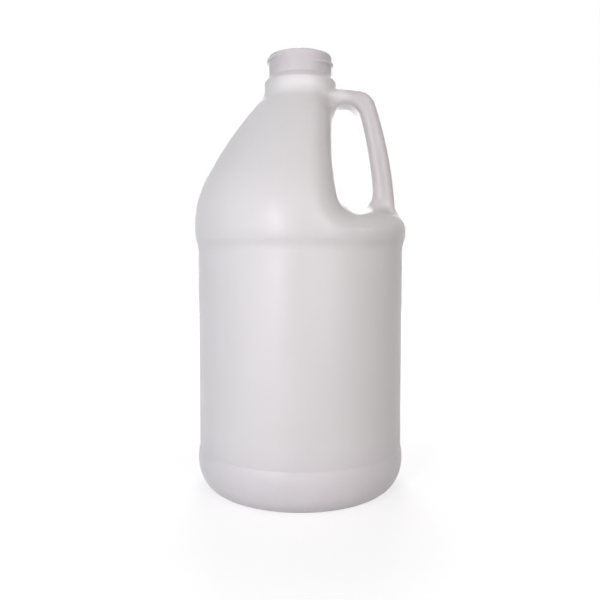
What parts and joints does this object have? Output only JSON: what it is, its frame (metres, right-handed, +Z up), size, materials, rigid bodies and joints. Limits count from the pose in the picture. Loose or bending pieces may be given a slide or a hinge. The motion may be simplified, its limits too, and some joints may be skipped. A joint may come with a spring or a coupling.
{
  "type": "handled plastic bottle",
  "caption": "Round blow-moulded plastic bottle with a hollow side handle, recessed label panel, sloping shoulder and open screw-finish neck.",
  "frame": {"origin": "middle of the ring foot, on the surface the bottle stands on", "axes": "+Z up along the bottle's axis, +X through the handle, +Y away from the front, so the mould's parting plane is XZ"},
  "size_m": [0.1196, 0.1196, 0.2445],
  "materials": {
    "bottle": "frosted natural polyethylene, translucent milky white with a soft satin sheen"
  },
  "bodies": {
    "root": {"bottle": "bottle"}
  },
  "joints": []
}
